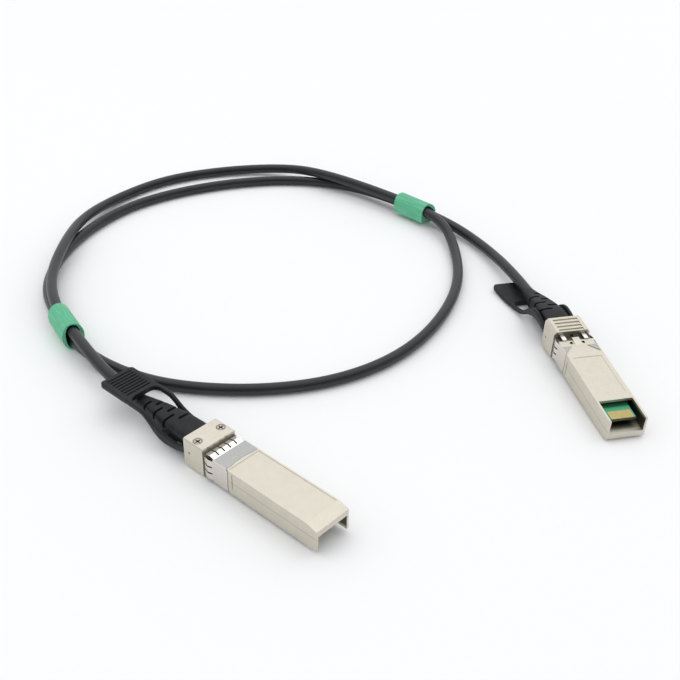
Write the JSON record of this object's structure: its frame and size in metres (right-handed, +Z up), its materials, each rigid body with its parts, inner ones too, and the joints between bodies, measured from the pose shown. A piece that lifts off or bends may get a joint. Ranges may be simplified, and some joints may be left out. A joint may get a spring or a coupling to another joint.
{
  "type": "direct attach copper cable",
  "caption": "Loose twinax cable wound in a loop, held by two wound straps, with a latching metal plug and a pull tab at each end.",
  "frame": {"origin": "under the middle of the two plugs, on the resting surface", "axes": "+X along the first plug's insertion, +Z up"},
  "size_m": [0.2659, 0.1894, 0.0127],
  "materials": {
    "nickel_plated_zinc": "satin nickel plate on die-cast zinc",
    "spring_sheet": "bright spring sheet",
    "screw_steel": "plated screw",
    "board_laminate": "green solder mask",
    "gold_plating": "gold plating",
    "black_resin": "moulded chip package",
    "wire_insulation": "foamed insulation",
    "tinned_braid": "woven tinned braid",
    "ferrule_metal": "crimped ring",
    "black_rubber": "moulded soft plastic",
    "black_plastic": "moulded plastic",
    "spring_wire": "spring wire",
    "cable_jacket": "smooth satin jacket",
    "green_strap": "napped hook-and-loop strap"
  },
  "bodies": {
    "cable_assembly": {"top_shell_a": "nickel_plated_zinc", "bottom_shell_a": "nickel_plated_zinc", "emi_collar_a": "spring_sheet", "housing_screws_a": "screw_steel", "circuit_board_a": "board_laminate", "contact_pads_a": "gold_plating", "memory_chip_a": "black_resin", "signal_wires_a": "wire_insulation", "shield_braid_a": "tinned_braid", "crimp_ferrule_a": "ferrule_metal", "strain_relief_a": "black_rubber", "return_spring_a": "spring_wire", "top_shell_b": "nickel_plated_zinc", "bottom_shell_b": "nickel_plated_zinc", "emi_collar_b": "spring_sheet", "housing_screws_b": "screw_steel", "circuit_board_b": "board_laminate", "contact_pads_b": "gold_plating", "memory_chip_b": "black_resin", "signal_wires_b": "wire_insulation", "shield_braid_b": "tinned_braid", "crimp_ferrule_b": "ferrule_metal", "strain_relief_b": "black_rubber", "return_spring_b": "spring_wire", "cable": "cable_jacket", "cable_tie_left": "green_strap", "cable_tie_right": "green_strap"},
    "latch_release_a": {"pull_tab_a": "black_plastic", "latch_slider_a": "spring_sheet"},
    "latch_release_b": {"pull_tab_b": "black_plastic", "latch_slider_b": "spring_sheet"}
  },
  "joints": [
    {"name": "latch_pull_a", "type": "slide", "parent": "cable_assembly", "child": "latch_release_a", "axis": [-1, 0, 0], "range_m": [0, 0.0015], "stiffness_N_per_m": 800, "springref_m": -0.001, "deforming": ["return_spring_a"]},
    {"name": "latch_pull_b", "type": "slide", "parent": "cable_assembly", "child": "latch_release_b", "axis": [-0.813, 0.5799, 0.0523], "range_m": [0, 0.0015], "stiffness_N_per_m": 800, "springref_m": -0.001, "deforming": ["return_spring_b"]}
  ]
}
